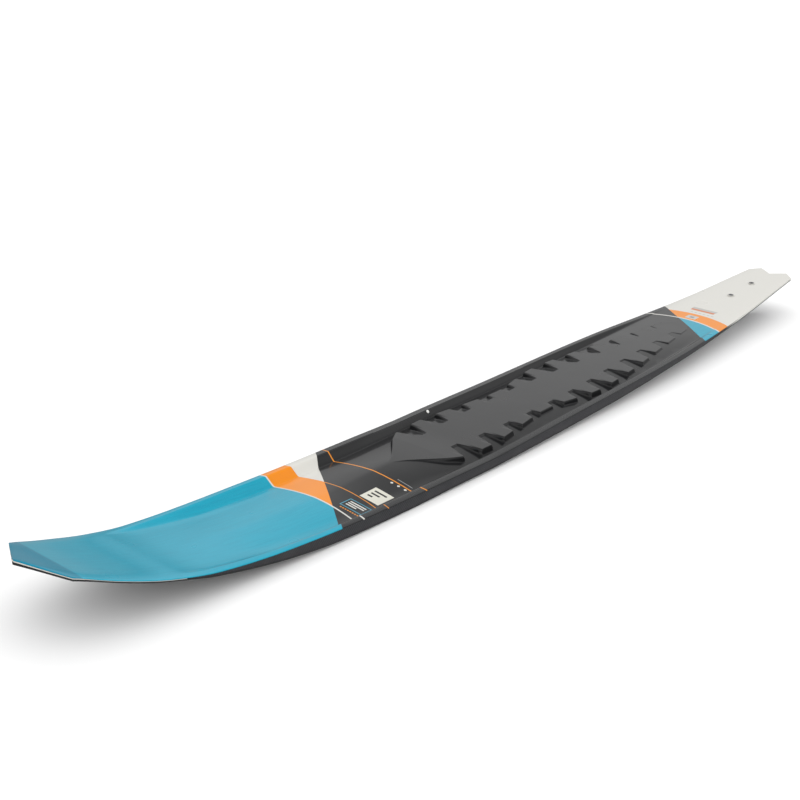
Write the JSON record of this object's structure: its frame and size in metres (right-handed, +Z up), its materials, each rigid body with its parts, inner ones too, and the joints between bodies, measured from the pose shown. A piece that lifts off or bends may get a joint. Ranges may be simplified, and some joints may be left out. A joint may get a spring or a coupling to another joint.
{
  "type": "slalom water ski",
  "caption": "Single slalom water ski, deck side up: raised edge rails, a toothed foot plateau, an upturned blunt nose, a notched tail and a moulded fin held by screws.",
  "frame": {"origin": "bottom centre of the bounding box, with the ski standing deck up on its fin and on the front of its base", "axes": "+X towards the nose, +Y to the ski's left, +Z up from the base to the deck; the flat of the deck is pitched 1.859 degrees nose down"},
  "size_m": [1.704, 0.184, 0.0938],
  "materials": {
    "deck": "gloss clear coat over printed black, teal, orange and white graphics",
    "base": "satin moulded black",
    "sidewall": "satin woven carbon under resin",
    "edge_block": "cut edge of moulded cream plastic",
    "carbon_laminate": "resin-bonded carbon cloth",
    "glass_laminate": "resin-bonded glass cloth",
    "core_foam": "closed-cell polyurethane foam",
    "retention": "dense screw-holding composite",
    "plug": "white nylon",
    "fin": "fine satin moulded nylon",
    "gasket": "closed-cell rubber",
    "steel": "stainless, polished head",
    "brass": "turned"
  },
  "bodies": {
    "root": {"deck_sheet": "deck", "upper_laminate": "carbon_laminate", "foam_core": "core_foam", "lower_laminate": "glass_laminate", "base_sheet": "base", "tip_block": "edge_block", "tail_block": "edge_block", "left_sidewall": "sidewall", "right_sidewall": "sidewall", "front_retention_block": "retention", "rear_retention_block": "retention", "vent_plug": "plug", "fin": "fin", "fin_gasket": "gasket", "rear_fin_screw": "steel", "rear_fin_washer": "steel", "rear_fin_insert": "brass", "front_fin_screw": "steel", "front_fin_washer": "steel", "front_fin_insert": "brass"}
  },
  "joints": []
}
